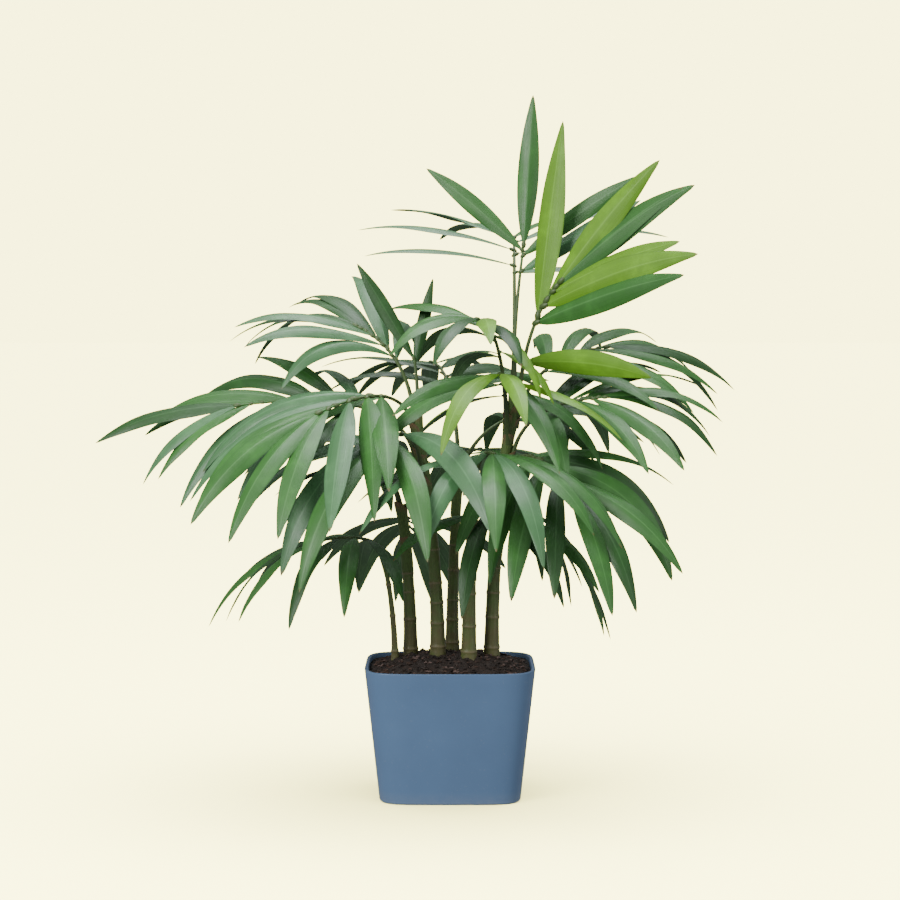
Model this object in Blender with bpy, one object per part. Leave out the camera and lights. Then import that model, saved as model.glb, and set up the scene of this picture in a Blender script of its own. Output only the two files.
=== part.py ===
"""Potted bamboo palm: a clump of slim canes in a square tapered planter.

Each cane carries arching fronds. A frond is one thin solid, a leaf stalk whose
outline is cut to the rib between its leaflets. The frame is +Z up and +Y to the
back, with the origin on the ground under the middle of the planter.
"""

import math
import random

import bmesh
import bpy
from mathutils import Matrix, Vector
from mathutils.bvhtree import BVHTree

MM = 0.001
GAP = 0.3 * MM
UP = Vector((0, 0, 1))

# Planter: a tapered square with bowed sides and round corners
POT_RIM_WIDTH = 154 * MM
POT_BASE_WIDTH = 128 * MM
POT_HEIGHT = 119 * MM
POT_WALL = 3.5 * MM
POT_FLOOR = 5 * MM
POT_SQUARENESS = 5.5
POT_SIDES = 32
SMOOTH_ANGLE = math.radians(40)

# Potting soil: a low mound with lumps, a little below the rim
SOIL_BELOW_RIM = 4 * MM
SOIL_MOUND = 13 * MM
SOIL_MOUND_POWER = 0.8
SOIL_LUMP = 1.6 * MM
SOIL_LUMP_WAVES = (310, 270, 510, 430)
SOIL_RINGS = 3
SOCKET_DEPTH = 4 * MM
SOCKET_SIDES = 10

# Canes
CANE_STATIONS = 8
CANE_SIDES = 10
CANE_FLARE = 1.5 * MM
CANE_FLARE_FADE = 14
CANE_TAPER = 0.4
CANE_TOP_ROUNDING = 0.5
CANE_TOP_POWER = 16

# Leaf stalks
STALK_FOOT_RADIUS = 2.1 * MM
STALK_TIP_RADIUS = 1.1 * MM
STALK_STATIONS = 8
STALK_SIDES = 5
STALK_LEAN = 0.12
SEAT_STEP = 0.05 * MM
SEAT_REACH = 4 * MM

# Leaflets
LEAF_STEPS = 10
LEAF_STEPS_PER_RING = 2
LEAF_THICKNESS_SHARE = 0.011
LEAF_ROOT_SHARE = 0.2
LEAF_BELLY_POWER = 0.8
LEAF_FULLEST = (0.8, 1.05)
LEAF_CLEARANCE = 0.8 * MM
LEAF_LIFTS = (0, 7, -7, 14, -14, 22, -22, 30, -30)
LEAF_LAST = 0.985
LEAF_RANGE = 0.97
PAIR_OFFSETS = ((1, 0.25), (-1, 0.6))
MIDDLE_LEAF_GAIN = 0.18
END_LEAF_SHARES = (0.95, 0.9)
END_LEAF_ANGLE_SHARE = 0.45
ANGLE_VARIATION = math.radians(7)
TILT_VARIATION = math.radians(18)
LENGTH_VARIATION = (0.92, 1.08)
DROOP_VARIATION = (0.55, 1.35)

# Each cane: foot x and y, top x, y and z, foot radius, in millimetres
CANES = {
    "cane_left": (-50, -6, -62, -12, 224, 3.0),
    "cane_inner_left": (-36, 10, -44, 18, 262, 6.5),
    "cane_middle": (-11, -10, -32, -4, 345, 6.5),
    "cane_front": (17, -22, 20, -34, 250, 7.0),
    "cane_tall": (38, 2, 60, 6, 368, 6.5),
    "cane_back": (2, 24, 8, 44, 300, 6.0),
}

# Base colour and roughness of each material
FINISHES = {
    "planter": ((0.105, 0.185, 0.315), 0.45),
    "soil": ((0.022, 0.012, 0.008), 0.95),
    "cane": ((0.16, 0.23, 0.06), 0.5),
    "leaf": ((0.045, 0.16, 0.025), 0.4),
}


class Frond:
    """One frond's sizes, in millimetres and degrees, from its cane to its tip.

    foot is the share of the cane's height that it leaves at, and around is the
    side of the cane. The stalk climbs by knee and then arches over to tip. Its
    leaflets stand from first to the tip at spread angles off the stalk, turned in
    the frond's plane by twist, raised by lift, and bent to the ground by droop.
    tilt turns their faces to the frond's tip, and roll turns the whole frond.
    """

    def __init__(self, cane, foot, tip, knee, leaf, spread, **sizes):
        self.cane = cane
        self.foot = foot
        self.tip = Vector(tip) * MM
        self.knee = knee * MM
        self.leaf = leaf * MM
        self.spread = [math.radians(a) for a in spread]
        self.azimuth = sizes.get("azimuth")
        self.around = sizes.get("around")
        self.pairs = sizes.get("pairs", 4)
        self.first = sizes.get("first", 0.45)
        self.width = sizes.get("width", 0.14)
        self.end = sizes.get("end", 2)
        self.skip = sizes.get("skip", ())
        self.face_up = sizes.get("face_up", 0)
        self.roll = math.radians(sizes.get("roll", 0))
        self.twist = math.radians(sizes.get("twist", 0))
        self.tilt = math.radians(sizes.get("tilt", 12))
        self.lift = math.radians(sizes.get("lift", 0))
        self.droop = math.radians(sizes.get("droop", 80))


FRONDS = {
    "frond_top": Frond(
        "cane_tall", 1.0, (67, 10, 500), 66, 134, (58, 36), azimuth=80, around=-135,
        pairs=2, first=0.78, twist=6, droop=12, end=1, skip=(1,)),
    "frond_crest": Frond(
        "cane_tall", 0.97, (60, 90, 508), 130, 150, (88, 60), pairs=3, first=0.55,
        lift=18, droop=40, tilt=28, face_up=0.5),
    "frond_gold": Frond(
        "cane_tall", 0.93, (100, -18, 466), 80, 168, (60, 0), pairs=5, first=0.25,
        width=0.155, twist=-14, lift=5, droop=22, roll=80, end=1, skip=(1, 2, 3)),
    "frond_inner": Frond(
        "cane_tall", 0.9, (24, -32, 432), 84, 112, (85, 40), azimuth=-150, first=0.35,
        width=0.17, droop=85, tilt=45),
    "frond_bright": Frond(
        "cane_tall", 0.82, (44, -72, 384), 55, 132, (95, 40), pairs=3, first=0.4,
        lift=-5, tilt=50),
    "frond_right_high": Frond(
        "cane_tall", 0.88, (145, 35, 406), 60, 142, (60, 12), lift=5, droop=66, roll=25),
    "frond_right": Frond(
        "cane_tall", 0.76, (140, -30, 362), 50, 138, (65, 20), pairs=5, lift=5, droop=78,
        roll=30),
    "frond_right_front": Frond(
        "cane_tall", 0.66, (106, -90, 286), 50, 152, (80, 25), droop=97, tilt=30, roll=15),
    "frond_right_low": Frond(
        "cane_tall", 0.5, (108, -16, 226), 40, 95, (60, 20), pairs=2),
    "frond_front_high": Frond(
        "cane_front", 1.0, (38, -110, 316), 70, 165, (70, 30), pairs=3, lift=-5, droop=95,
        tilt=30),
    "frond_front_low": Frond(
        "cane_front", 0.85, (48, -98, 258), 40, 125, (70, 25), pairs=3, droop=100,
        tilt=35, end=1),
    "frond_left_front": Frond(
        "cane_middle", 0.95, (-116, -92, 350), 50, 180, (60, 18), droop=86, tilt=20,
        roll=-15),
    "frond_left_drop": Frond(
        "cane_middle", 0.74, (-58, -104, 324), 60, 175, (70, 25), pairs=2, first=0.6,
        droop=104, tilt=40),
    "frond_left_far": Frond(
        "cane_middle", 0.85, (-194, -25, 354), 62, 134, (58, 14), pairs=5, lift=4,
        droop=62, roll=-35),
    "frond_left_high": Frond(
        "cane_middle", 1.0, (-90, 20, 426), 60, 140, (50, 10), lift=4, droop=86, roll=-20),
    "frond_left_upright": Frond(
        "cane_middle", 1.0, (-33, 6, 400), 32, 96, (22, 20), azimuth=100, around=40,
        pairs=1, first=0.75, droop=5, end=1),
    "frond_left_under": Frond(
        "cane_inner_left", 1.0, (-100, -40, 296), 45, 92, (65, 20), pairs=2, lift=5,
        droop=70),
    "frond_left_low": Frond(
        "cane_left", 1.0, (-128, -32, 232), 17, 130, (95, 20), first=0.25, lift=5,
        droop=88),
    "frond_back_top": Frond(
        "cane_back", 1.0, (-20, 150, 390), 90, 130, (70, 30), lift=10, droop=60),
    "frond_back_right": Frond(
        "cane_back", 0.95, (130, 120, 350), 60, 130, (65, 30), lift=10, droop=70),
    "frond_back": Frond(
        "cane_back", 0.85, (40, 170, 300), 50, 130, (65, 30), lift=10, droop=80),
    "frond_back_left": Frond(
        "cane_inner_left", 0.95, (-110, 120, 320), 60, 130, (65, 30), lift=10, droop=70),
    "frond_back_low": Frond(
        "cane_inner_left", 0.8, (-40, 140, 226), 30, 120, (65, 30), lift=5, droop=85),
}


def clear_scene():
    for obj in list(bpy.data.objects):
        bpy.data.objects.remove(obj)


def collection(name):
    made = bpy.data.collections.new(name)
    bpy.context.scene.collection.children.link(made)
    return made


def material(name):
    colour, roughness = FINISHES[name]
    made = bpy.data.materials.new(name)
    made.use_nodes = True
    shader = made.node_tree.nodes["Principled BSDF"]
    shader.inputs["Base Color"].default_value = (*colour, 1)
    shader.inputs["Roughness"].default_value = roughness
    shader.inputs["Metallic"].default_value = 0
    return made


def mesh_object(name, bm, finish, home):
    mesh = bpy.data.meshes.new(name)
    bmesh.ops.recalc_face_normals(bm, faces=bm.faces)
    bm.to_mesh(mesh)
    bm.free()
    mesh.shade_smooth()
    mesh.set_sharp_from_angle(angle=SMOOTH_ANGLE)
    mesh.materials.append(finish)
    made = bpy.data.objects.new(name, mesh)
    home.objects.link(made)
    return made


def cut(obj, cutter):
    modifier = obj.modifiers.new("cut", "BOOLEAN")
    modifier.operation = "DIFFERENCE"
    modifier.solver = "EXACT"
    modifier.object = cutter
    cutter.hide_render = True
    cutter.display_type = "WIRE"


def outer_half_width(z):
    return (POT_BASE_WIDTH + (POT_RIM_WIDTH - POT_BASE_WIDTH) * z / POT_HEIGHT) / 2


def square_plan(x, y, half_width):
    """The point of the planter's rounded square plan in the direction of x, y."""
    angle = math.atan2(y, x)
    across, along = abs(math.cos(angle)), abs(math.sin(angle))
    corner = (across**POT_SQUARENESS + along**POT_SQUARENESS) ** (1 / POT_SQUARENESS)
    return half_width / corner * math.cos(angle), half_width / corner * math.sin(angle)


def tapered_block(low, high, inset):
    """The planter's tapered plan between two heights, drawn in by inset."""
    bm = bmesh.new()
    bmesh.ops.create_cone(
        bm, cap_ends=True, segments=POT_SIDES, radius1=1, radius2=1, depth=1)
    for v in bm.verts:
        z = low if v.co.z < 0 else high
        v.co.x, v.co.y = square_plan(v.co.x, v.co.y, outer_half_width(z) - inset)
        v.co.z = z
    return bm


def make_planter(home, cutters):
    finish = material("planter")
    pot = mesh_object("planter", tapered_block(0, POT_HEIGHT, 0), finish, home)
    hollow = tapered_block(POT_FLOOR, POT_HEIGHT + POT_FLOOR, POT_WALL)
    cut(pot, mesh_object("planter_hollow", hollow, finish, cutters))


def soil_height(x, y):
    """Height of the soil over a point."""
    half = outer_half_width(POT_HEIGHT) - POT_WALL
    middle = max(0.0, 1 - (x * x + y * y) / (half * half))
    a, b, c, d = SOIL_LUMP_WAVES
    lumps = math.sin(x * a) * math.cos(y * b) + 0.6 * math.sin(x * c + y * d)
    near_wall = min(1.0, 2.5 * middle)
    mound = SOIL_MOUND * middle**SOIL_MOUND_POWER
    return POT_HEIGHT - SOIL_BELOW_RIM + mound + SOIL_LUMP * lumps * near_wall


def make_soil(home, cutters, canes):
    finish = material("soil")
    bottom = POT_FLOOR + GAP
    edge_height = POT_HEIGHT - SOIL_BELOW_RIM
    bm = tapered_block(bottom, edge_height, POT_WALL + GAP)
    rim = [v for v in bm.verts if v.co.z > bottom + POT_WALL]
    top = max(bm.faces, key=lambda face: face.calc_center_median().z)
    for ring in range(SOIL_RINGS, 0, -1):
        bmesh.ops.inset_region(bm, faces=[top], thickness=GAP)
        shrink = ring / (ring + 1)
        bmesh.ops.scale(bm, verts=top.verts, vec=(shrink, shrink, 1))
    bmesh.ops.poke(bm, faces=[top])
    for v in bm.verts:
        if v.co.z > bottom + POT_WALL and v not in rim:
            v.co.z = soil_height(v.co.x, v.co.y)
    soil = mesh_object("soil", bm, finish, home)
    for name, cane in canes.items():
        socket = bmesh.new()
        radius = cane.radius(0) + 2 * GAP
        height = 8 * SOCKET_DEPTH
        bmesh.ops.create_cone(
            socket, cap_ends=True, segments=SOCKET_SIDES, radius1=radius, radius2=radius,
            depth=height)
        middle = cane.foot + UP * (height / 2 - GAP)
        bmesh.ops.translate(socket, verts=socket.verts, vec=middle)
        cut(soil, mesh_object("socket_" + name, socket, finish, cutters))


def bezier(a, b, c, t):
    return a * (1 - t) ** 2 + b * 2 * t * (1 - t) + c * t * t


def bezier_slope(a, b, c, t):
    return ((b - a) * (1 - t) + (c - b) * t).normalized()


class Cane:
    """The line and radius of one cane, from its foot in the soil to its top."""

    def __init__(self, foot_x, foot_y, top_x, top_y, top_z, radius):
        x, y = foot_x * MM, foot_y * MM
        self.foot = Vector((x, y, soil_height(x, y) - SOCKET_DEPTH))
        self.top = Vector((top_x, top_y, top_z)) * MM
        self.bend = Vector((x, y, (self.foot.z + self.top.z) / 2))
        self.foot_radius = radius * MM

    def at(self, t):
        return bezier(self.foot, self.bend, self.top, t)

    def radius(self, t):
        flare = CANE_FLARE * math.exp(-CANE_FLARE_FADE * t)
        rounding = 1 - CANE_TOP_ROUNDING * t**CANE_TOP_POWER
        return self.foot_radius * (1 - CANE_TAPER * t) * rounding + flare


def limb(name, line, stations, sides, finish, home):
    """A tapering round limb along a line, as a closed mesh object."""
    curve = bpy.data.curves.new(name + "_line", "CURVE")
    curve.dimensions = "3D"
    curve.bevel_depth = 1.0
    curve.bevel_resolution = sides // 2 - 2
    curve.use_fill_caps = True
    spline = curve.splines.new("POLY")
    spline.points.add(stations - 1)
    for i, point in enumerate(spline.points):
        t = i / (stations - 1)
        point.co = (*line.at(t), 1)
        point.radius = line.radius(t)
    guide = bpy.data.objects.new(name + "_line", curve)
    home.objects.link(guide)
    bpy.context.view_layer.update()
    graph = bpy.context.evaluated_depsgraph_get()
    mesh = bpy.data.meshes.new_from_object(guide.evaluated_get(graph))
    bm = bmesh.new()
    bm.from_mesh(mesh)
    bmesh.ops.remove_doubles(bm, verts=bm.verts, dist=0.01 * MM)
    bpy.data.objects.remove(guide)
    bpy.data.meshes.remove(mesh)
    return mesh_object(name, bm, finish, home)


class Stalk:
    """The line of one frond's stalk, with its tangent, side and upper face."""

    def __init__(self, frond, cane):
        axis = cane.at(frond.foot)
        away = frond.tip - axis
        azimuth = math.atan2(away.y, away.x)
        if frond.azimuth is not None:
            azimuth = math.radians(frond.azimuth)
        around = azimuth if frond.around is None else math.radians(frond.around)
        self.out = Vector((math.cos(azimuth), math.sin(azimuth), 0))
        self.inward = -Vector((math.cos(around), math.sin(around), 0))
        reach = cane.radius(frond.foot) + STALK_FOOT_RADIUS + GAP
        self.foot = axis - self.inward * reach
        self.knee = self.foot + Vector((away.x, away.y, 0)) * STALK_LEAN + UP * frond.knee
        self.tip = frond.tip
        self.roll = frond.roll

    def move_in(self, distance):
        self.foot = self.foot + self.inward * distance
        self.knee = self.knee + self.inward * distance
        self.tip = self.tip + self.inward * distance

    def at(self, t):
        return bezier(self.foot, self.knee, self.tip, t)

    def radius(self, t):
        return STALK_FOOT_RADIUS + (STALK_TIP_RADIUS - STALK_FOOT_RADIUS) * t

    def frame(self, t):
        tangent = bezier_slope(self.foot, self.knee, self.tip, t)
        side = self.out.cross(UP)
        side = (side - tangent * side.dot(tangent)).normalized()
        side = Matrix.Rotation(self.roll, 3, tangent) @ side
        return tangent, side, side.cross(tangent)


class Leaflet:
    """One leaflet's midrib, worked out in steps that bend towards the ground."""

    def __init__(self, root, direction, upper, length, width, droop, fullest):
        self.length, self.width, self.fullest = length, width, fullest
        point, tangent = root.copy(), direction.normalized()
        across = tangent.cross(upper).normalized()
        self.stations = [(point, tangent, across)]
        for i in range(LEAF_STEPS):
            bend = droop / LEAF_STEPS * (0.5 + i / LEAF_STEPS)
            tangent = (tangent - UP * bend).normalized()
            across = (across - tangent * across.dot(tangent)).normalized()
            point = point + tangent * length / LEAF_STEPS
            self.stations.append((point, tangent, across))

    def half_width(self, u):
        """Half width at u from the root (0) to the tip (1)."""
        belly = math.sin(math.pi * u**self.fullest) ** LEAF_BELLY_POWER if u > 0 else 0.0
        return self.width / 2 * max(LEAF_ROOT_SHARE * (1 - u), belly)

    def blade(self, swell=0.0):
        """The thin blade, lofted through diamond sections to its pointed tip."""
        bm = bmesh.new()
        thick = self.length * LEAF_THICKNESS_SHARE / 2 + swell
        rings = []
        for i in range(0, LEAF_STEPS, LEAF_STEPS_PER_RING):
            point, tangent, across = self.stations[i]
            face = across.cross(tangent)
            half = self.half_width(i / LEAF_STEPS) + swell
            corners = (across * half, face * thick, -across * half, -face * thick)
            rings.append([bm.verts.new(point + corner) for corner in corners])
        point, tangent, across = self.stations[-1]
        tip = bm.verts.new(point + tangent * swell)
        for near, far in zip(rings, rings[1:]):
            for k in range(4):
                following = (k + 1) % 4
                bm.faces.new((near[k], near[following], far[following], far[k]))
        for k in range(4):
            bm.faces.new((rings[-1][k], rings[-1][(k + 1) % 4], tip))
        bm.faces.new(rings[0])
        bmesh.ops.recalc_face_normals(bm, faces=bm.faces)
        return bm


def leaflet_places(frond):
    """Place along the stalk, side, angle off it and share of full length, one a leaflet."""
    base, tip = frond.spread
    places = []
    for i in range(frond.pairs):
        for side, offset in PAIR_OFFSETS:
            u = (i + offset) / frond.pairs
            t = frond.first + (1 - frond.first) * u * LEAF_RANGE
            angle = base + (tip - base) * u - side * frond.twist
            share = 1 - MIDDLE_LEAF_GAIN * (1 - math.sin(math.pi * u))
            places.append((t, side, angle, share))
    if frond.end == 1:
        places.append((LEAF_LAST, 1, 0.0, 1.0))
    if frond.end == 2:
        for side, share in zip((1, -1), END_LEAF_SHARES):
            places.append((LEAF_LAST, side, tip * END_LEAF_ANGLE_SHARE, share))
    return [place for i, place in enumerate(places) if i not in frond.skip]


def grow_leaflets(name, frond, stalk, blocked):
    """The frond's leaflets that find room, each raised or lowered clear of what is there."""
    rng = random.Random(name)
    grown = []
    for t, side, angle, share in leaflet_places(frond):
        tangent, across, face = stalk.frame(t)
        angle += rng.uniform(-ANGLE_VARIATION, ANGLE_VARIATION)
        length = frond.leaf * share * rng.uniform(*LENGTH_VARIATION)
        droop = frond.droop * rng.uniform(*DROOP_VARIATION)
        tilt = frond.tilt + rng.uniform(-TILT_VARIATION, TILT_VARIATION)
        fullest = rng.uniform(*LEAF_FULLEST)
        upper = face * math.cos(tilt) + tangent * math.sin(tilt)
        upper = upper * (1 - frond.face_up) + UP * frond.face_up
        for step in LEAF_LIFTS:
            rise = frond.lift + math.radians(step)
            sideways = across * side * math.cos(rise) + face * math.sin(rise)
            direction = tangent * math.cos(angle) + sideways * math.sin(angle)
            leaf = Leaflet(
                stalk.at(t), direction, upper, length, length * frond.width, droop, fullest)
            probe = tree_of(leaf.blade(LEAF_CLEARANCE))
            if not any(probe.overlap(tree) for tree in blocked):
                grown.append(leaf)
                break
    return grown


def tree_of(bm):
    tree = BVHTree.FromBMesh(bm)
    bm.free()
    return tree


def tree_of_object(obj):
    bm = bmesh.new()
    bm.from_mesh(obj.data)
    return tree_of(bm)


def join(name, pieces, home):
    """One closed mesh object from solids that cross."""
    others = collection(name + "_leaflets")
    for piece in pieces[1:]:
        home.objects.unlink(piece)
        others.objects.link(piece)
    modifier = pieces[0].modifiers.new("join", "BOOLEAN")
    modifier.operation = "UNION"
    modifier.solver = "EXACT"
    modifier.operand_type = "COLLECTION"
    modifier.collection = others
    bpy.context.view_layer.update()
    graph = bpy.context.evaluated_depsgraph_get()
    mesh = bpy.data.meshes.new_from_object(pieces[0].evaluated_get(graph))
    for piece in pieces:
        bpy.data.objects.remove(piece)
    bpy.data.collections.remove(others)
    home.objects.link(bpy.data.objects.new(name, mesh))


def room_to_cane(rib, cane_tree, inward):
    """How far a stalk can move inward and still lie one gap clear of its cane."""
    corners = [v.co for v in rib.data.vertices]
    faces = [list(face.vertices) for face in rib.data.polygons]
    moved = 0.0
    while moved < SEAT_REACH:
        tree = BVHTree.FromPolygons([corner + inward * moved for corner in corners], faces)
        if tree.overlap(cane_tree):
            break
        moved += SEAT_STEP
    return moved - SEAT_STEP - GAP


def make_limbs(home, canes):
    """The canes and the bare stalks, none of which may meet another."""
    cane_finish, leaf_finish = material("cane"), material("leaf")
    trees, stalks, ribs = {}, {}, {}
    for name, cane in canes.items():
        made = limb(name, cane, CANE_STATIONS, CANE_SIDES, cane_finish, home)
        trees[name] = tree_of_object(made)
    for name, frond in FRONDS.items():
        stalk = Stalk(frond, canes[frond.cane])
        rib = limb(name + "_rib", stalk, STALK_STATIONS, STALK_SIDES, leaf_finish, home)
        stalk.move_in(room_to_cane(rib, trees[frond.cane], stalk.inward))
        bpy.data.objects.remove(rib)
        rib = limb(name + "_rib", stalk, STALK_STATIONS, STALK_SIDES, leaf_finish, home)
        stalks[name], ribs[name] = stalk, rib
        tree = tree_of_object(ribs[name])
        for other in trees:
            if tree.overlap(trees[other]):
                raise ValueError(f"{name} meets {other}")
        trees[name] = tree
    return stalks, ribs, trees


def make_fronds(home, canes):
    stalks, ribs, trees = make_limbs(home, canes)
    finish = ribs["frond_top"].data.materials[0]
    placed = []
    for name, frond in FRONDS.items():
        blocked = [tree for other, tree in trees.items() if other != name] + placed
        grown = grow_leaflets(name, frond, stalks[name], blocked)
        blades = []
        for i, leaf in enumerate(grown):
            blades.append(mesh_object(f"{name}_{i}", leaf.blade(), finish, home))
            placed.append(tree_of(leaf.blade()))
        join(name, [ribs[name]] + blades, home)


def main():
    clear_scene()
    home = collection("potted_bamboo_palm")
    cutters = collection("cutters")
    canes = {name: Cane(*sizes) for name, sizes in CANES.items()}
    make_planter(home, cutters)
    make_soil(home, cutters, canes)
    make_fronds(home, canes)


main()
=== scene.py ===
"""Dresses the solids of a potted bamboo palm: planter, soil, canes, stalks and leaflets.

The file is laid out as a Blender add-on and run as a script. Each operator makes one
kind of piece over its solids. Lengths are metres unless a name or table says otherwise.
"""

import math
import random

import bmesh
import bpy
from bpy.props import FloatProperty, FloatVectorProperty, IntProperty, PointerProperty
from bpy.types import Operator, Panel, PropertyGroup
from mathutils import Matrix, Vector, noise
from mathutils.kdtree import KDTree


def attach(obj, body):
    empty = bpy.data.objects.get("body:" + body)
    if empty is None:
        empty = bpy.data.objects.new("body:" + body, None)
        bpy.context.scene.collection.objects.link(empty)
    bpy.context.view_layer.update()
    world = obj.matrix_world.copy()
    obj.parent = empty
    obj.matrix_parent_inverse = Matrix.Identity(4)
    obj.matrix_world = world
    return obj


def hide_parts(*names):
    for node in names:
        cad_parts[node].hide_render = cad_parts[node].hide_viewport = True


bl_info = {
    "name": "Potted Bamboo Palm",
    "version": (1, 0, 0),
    "blender": (4, 5, 0),
    "location": "3D View > Sidebar > Palm",
    "description": "Dresses the solids of a potted bamboo palm with leaflets, bark and soil",
    "category": "Add Mesh",
}

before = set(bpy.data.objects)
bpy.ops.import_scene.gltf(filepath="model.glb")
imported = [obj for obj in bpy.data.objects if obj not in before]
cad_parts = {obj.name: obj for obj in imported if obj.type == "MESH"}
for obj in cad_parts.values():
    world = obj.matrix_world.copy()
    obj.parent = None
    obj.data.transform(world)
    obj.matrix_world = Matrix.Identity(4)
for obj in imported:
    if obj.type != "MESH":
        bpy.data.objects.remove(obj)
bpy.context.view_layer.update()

MM = 0.001
GAP = 0.3 * MM
UP = Vector((0, 0, 1))
WELD = 0.01 * MM

# Planter and soil, as in the solids
POT_RIM_WIDTH = 154 * MM
POT_BASE_WIDTH = 128 * MM
POT_HEIGHT = 119 * MM
POT_WALL = 3.5 * MM
POT_FLOOR = 5 * MM
POT_SQUARENESS = 5.5
SOIL_BELOW_RIM = 4 * MM
SOIL_MOUND = 13 * MM
SOIL_MOUND_POWER = 0.8
SOIL_LUMP = 1.6 * MM
SOIL_LUMP_WAVES = (310, 270, 510, 430)
SOCKET_DEPTH = 4 * MM

# Canes and leaf stalks, as in the solids
CANE_FLARE = 1.5 * MM
CANE_FLARE_FADE = 14
CANE_TAPER = 0.4
CANE_TOP_ROUNDING = 0.5
CANE_TOP_POWER = 16
STALK_FOOT_RADIUS = 2.1 * MM
STALK_TIP_RADIUS = 1.1 * MM
STALK_LEAN = 0.12
STALK_FOOT_CORNERS = 4
SEAT_STEP = 0.05 * MM
SEAT_STEPS = (-8, 81)

# Leaflets, as in the solids
LEAF_STEPS = 10
LEAF_ROOT_SHARE = 0.2
LEAF_BELLY_POWER = 0.8
LEAF_FULLEST = (0.8, 1.05)
LEAF_LIFTS = (0, 7, -7, 14, -14, 22, -22, 30, -30)
LEAF_LAST = 0.985
LEAF_RANGE = 0.97
PAIR_OFFSETS = ((1, 0.25), (-1, 0.6))
MIDDLE_LEAF_GAIN = 0.18
END_LEAF_SHARES = (0.95, 0.9)
END_LEAF_ANGLE_SHARE = 0.45
ANGLE_VARIATION = math.radians(7)
TILT_VARIATION = math.radians(18)
LENGTH_VARIATION = (0.92, 1.08)
DROOP_VARIATION = (0.55, 1.35)
TIP_MATCH = 0.2 * MM

# Details of the canes, sheaths, stalks and blades
SCAR_BULGE_WIDTH, SCAR_COLOUR_WIDTH = 1.3 * MM, 0.8 * MM
SCAR_STRENGTH = 0.85
CANE_UNEVENNESS, CANE_UNEVEN_SCALE = 0.12 * MM, 120
SHEATH_THICKNESS = 0.35 * MM
SHEATH_TEAR = 3 * MM
SHEATH_LENGTHS = (0.75, 1.2)
STALK_INTO_SHEATH = 0.05
STALK_CHANNEL, STALK_CHANNEL_POWER = 0.28, 6
STALK_FLARE, STALK_FLARE_FADE = 0.3, 16
STALK_TIP_POWER = 40
KNUCKLE_SHARE, KNUCKLE_STRETCH = 0.12, (1.7, 1.0, 0.75)
BLADE_KEEL, BLADE_TWIST = (0.2, 0.5), (-0.25, 0.25)
BLADE_WAVES, BLADE_WAVE_PHASE = (6, 13), (0, 6)
BIT_REACH, BIT_CLEARANCE = 0.93, 3 * MM

# Fine surfaces: segments round and along each kind of piece
PLANTER_AROUND = 192
SOIL_AROUND, SOIL_RINGS = 240, 56
CANE_AROUND, CANE_STEP = 20, 0.8 * MM
SHEATH_AROUND, SHEATH_ALONG = 24, 12
STALK_AROUND, STALK_ALONG = 12, 44
BLADE_ALONG, BLADE_ACROSS = 28, 10

# Each cane: foot x and y, top x, y and z, foot radius, in millimetres
CANES = {
    "cane_left": (-50, -6, -62, -12, 224, 3.0),
    "cane_inner_left": (-36, 10, -44, 18, 262, 6.5),
    "cane_middle": (-11, -10, -32, -4, 345, 6.5),
    "cane_front": (17, -22, 20, -34, 250, 7.0),
    "cane_tall": (38, 2, 60, 6, 368, 6.5),
    "cane_back": (2, 24, 8, 44, 300, 6.0),
}


class Frond:
    """One frond's sizes, in millimetres and degrees, from its cane to its tip.

    foot is the share of the cane's height that it leaves at, and around is the
    side of the cane. The stalk climbs by knee and then arches over to tip. Its
    leaflets stand from first to the tip at spread angles off the stalk, turned in
    the frond's plane by twist, raised by lift, and bent to the ground by droop.
    tilt turns their faces to the frond's tip, and roll turns the whole frond.
    """

    def __init__(self, cane, foot, tip, knee, leaf, spread, **sizes):
        self.cane = cane
        self.foot = foot
        self.tip = Vector(tip) * MM
        self.knee = knee * MM
        self.leaf = leaf * MM
        self.spread = [math.radians(a) for a in spread]
        self.azimuth = sizes.get("azimuth")
        self.around = sizes.get("around")
        self.pairs = sizes.get("pairs", 4)
        self.first = sizes.get("first", 0.45)
        self.width = sizes.get("width", 0.14)
        self.end = sizes.get("end", 2)
        self.skip = sizes.get("skip", ())
        self.face_up = sizes.get("face_up", 0)
        self.roll = math.radians(sizes.get("roll", 0))
        self.twist = math.radians(sizes.get("twist", 0))
        self.tilt = math.radians(sizes.get("tilt", 12))
        self.lift = math.radians(sizes.get("lift", 0))
        self.droop = math.radians(sizes.get("droop", 80))


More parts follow.
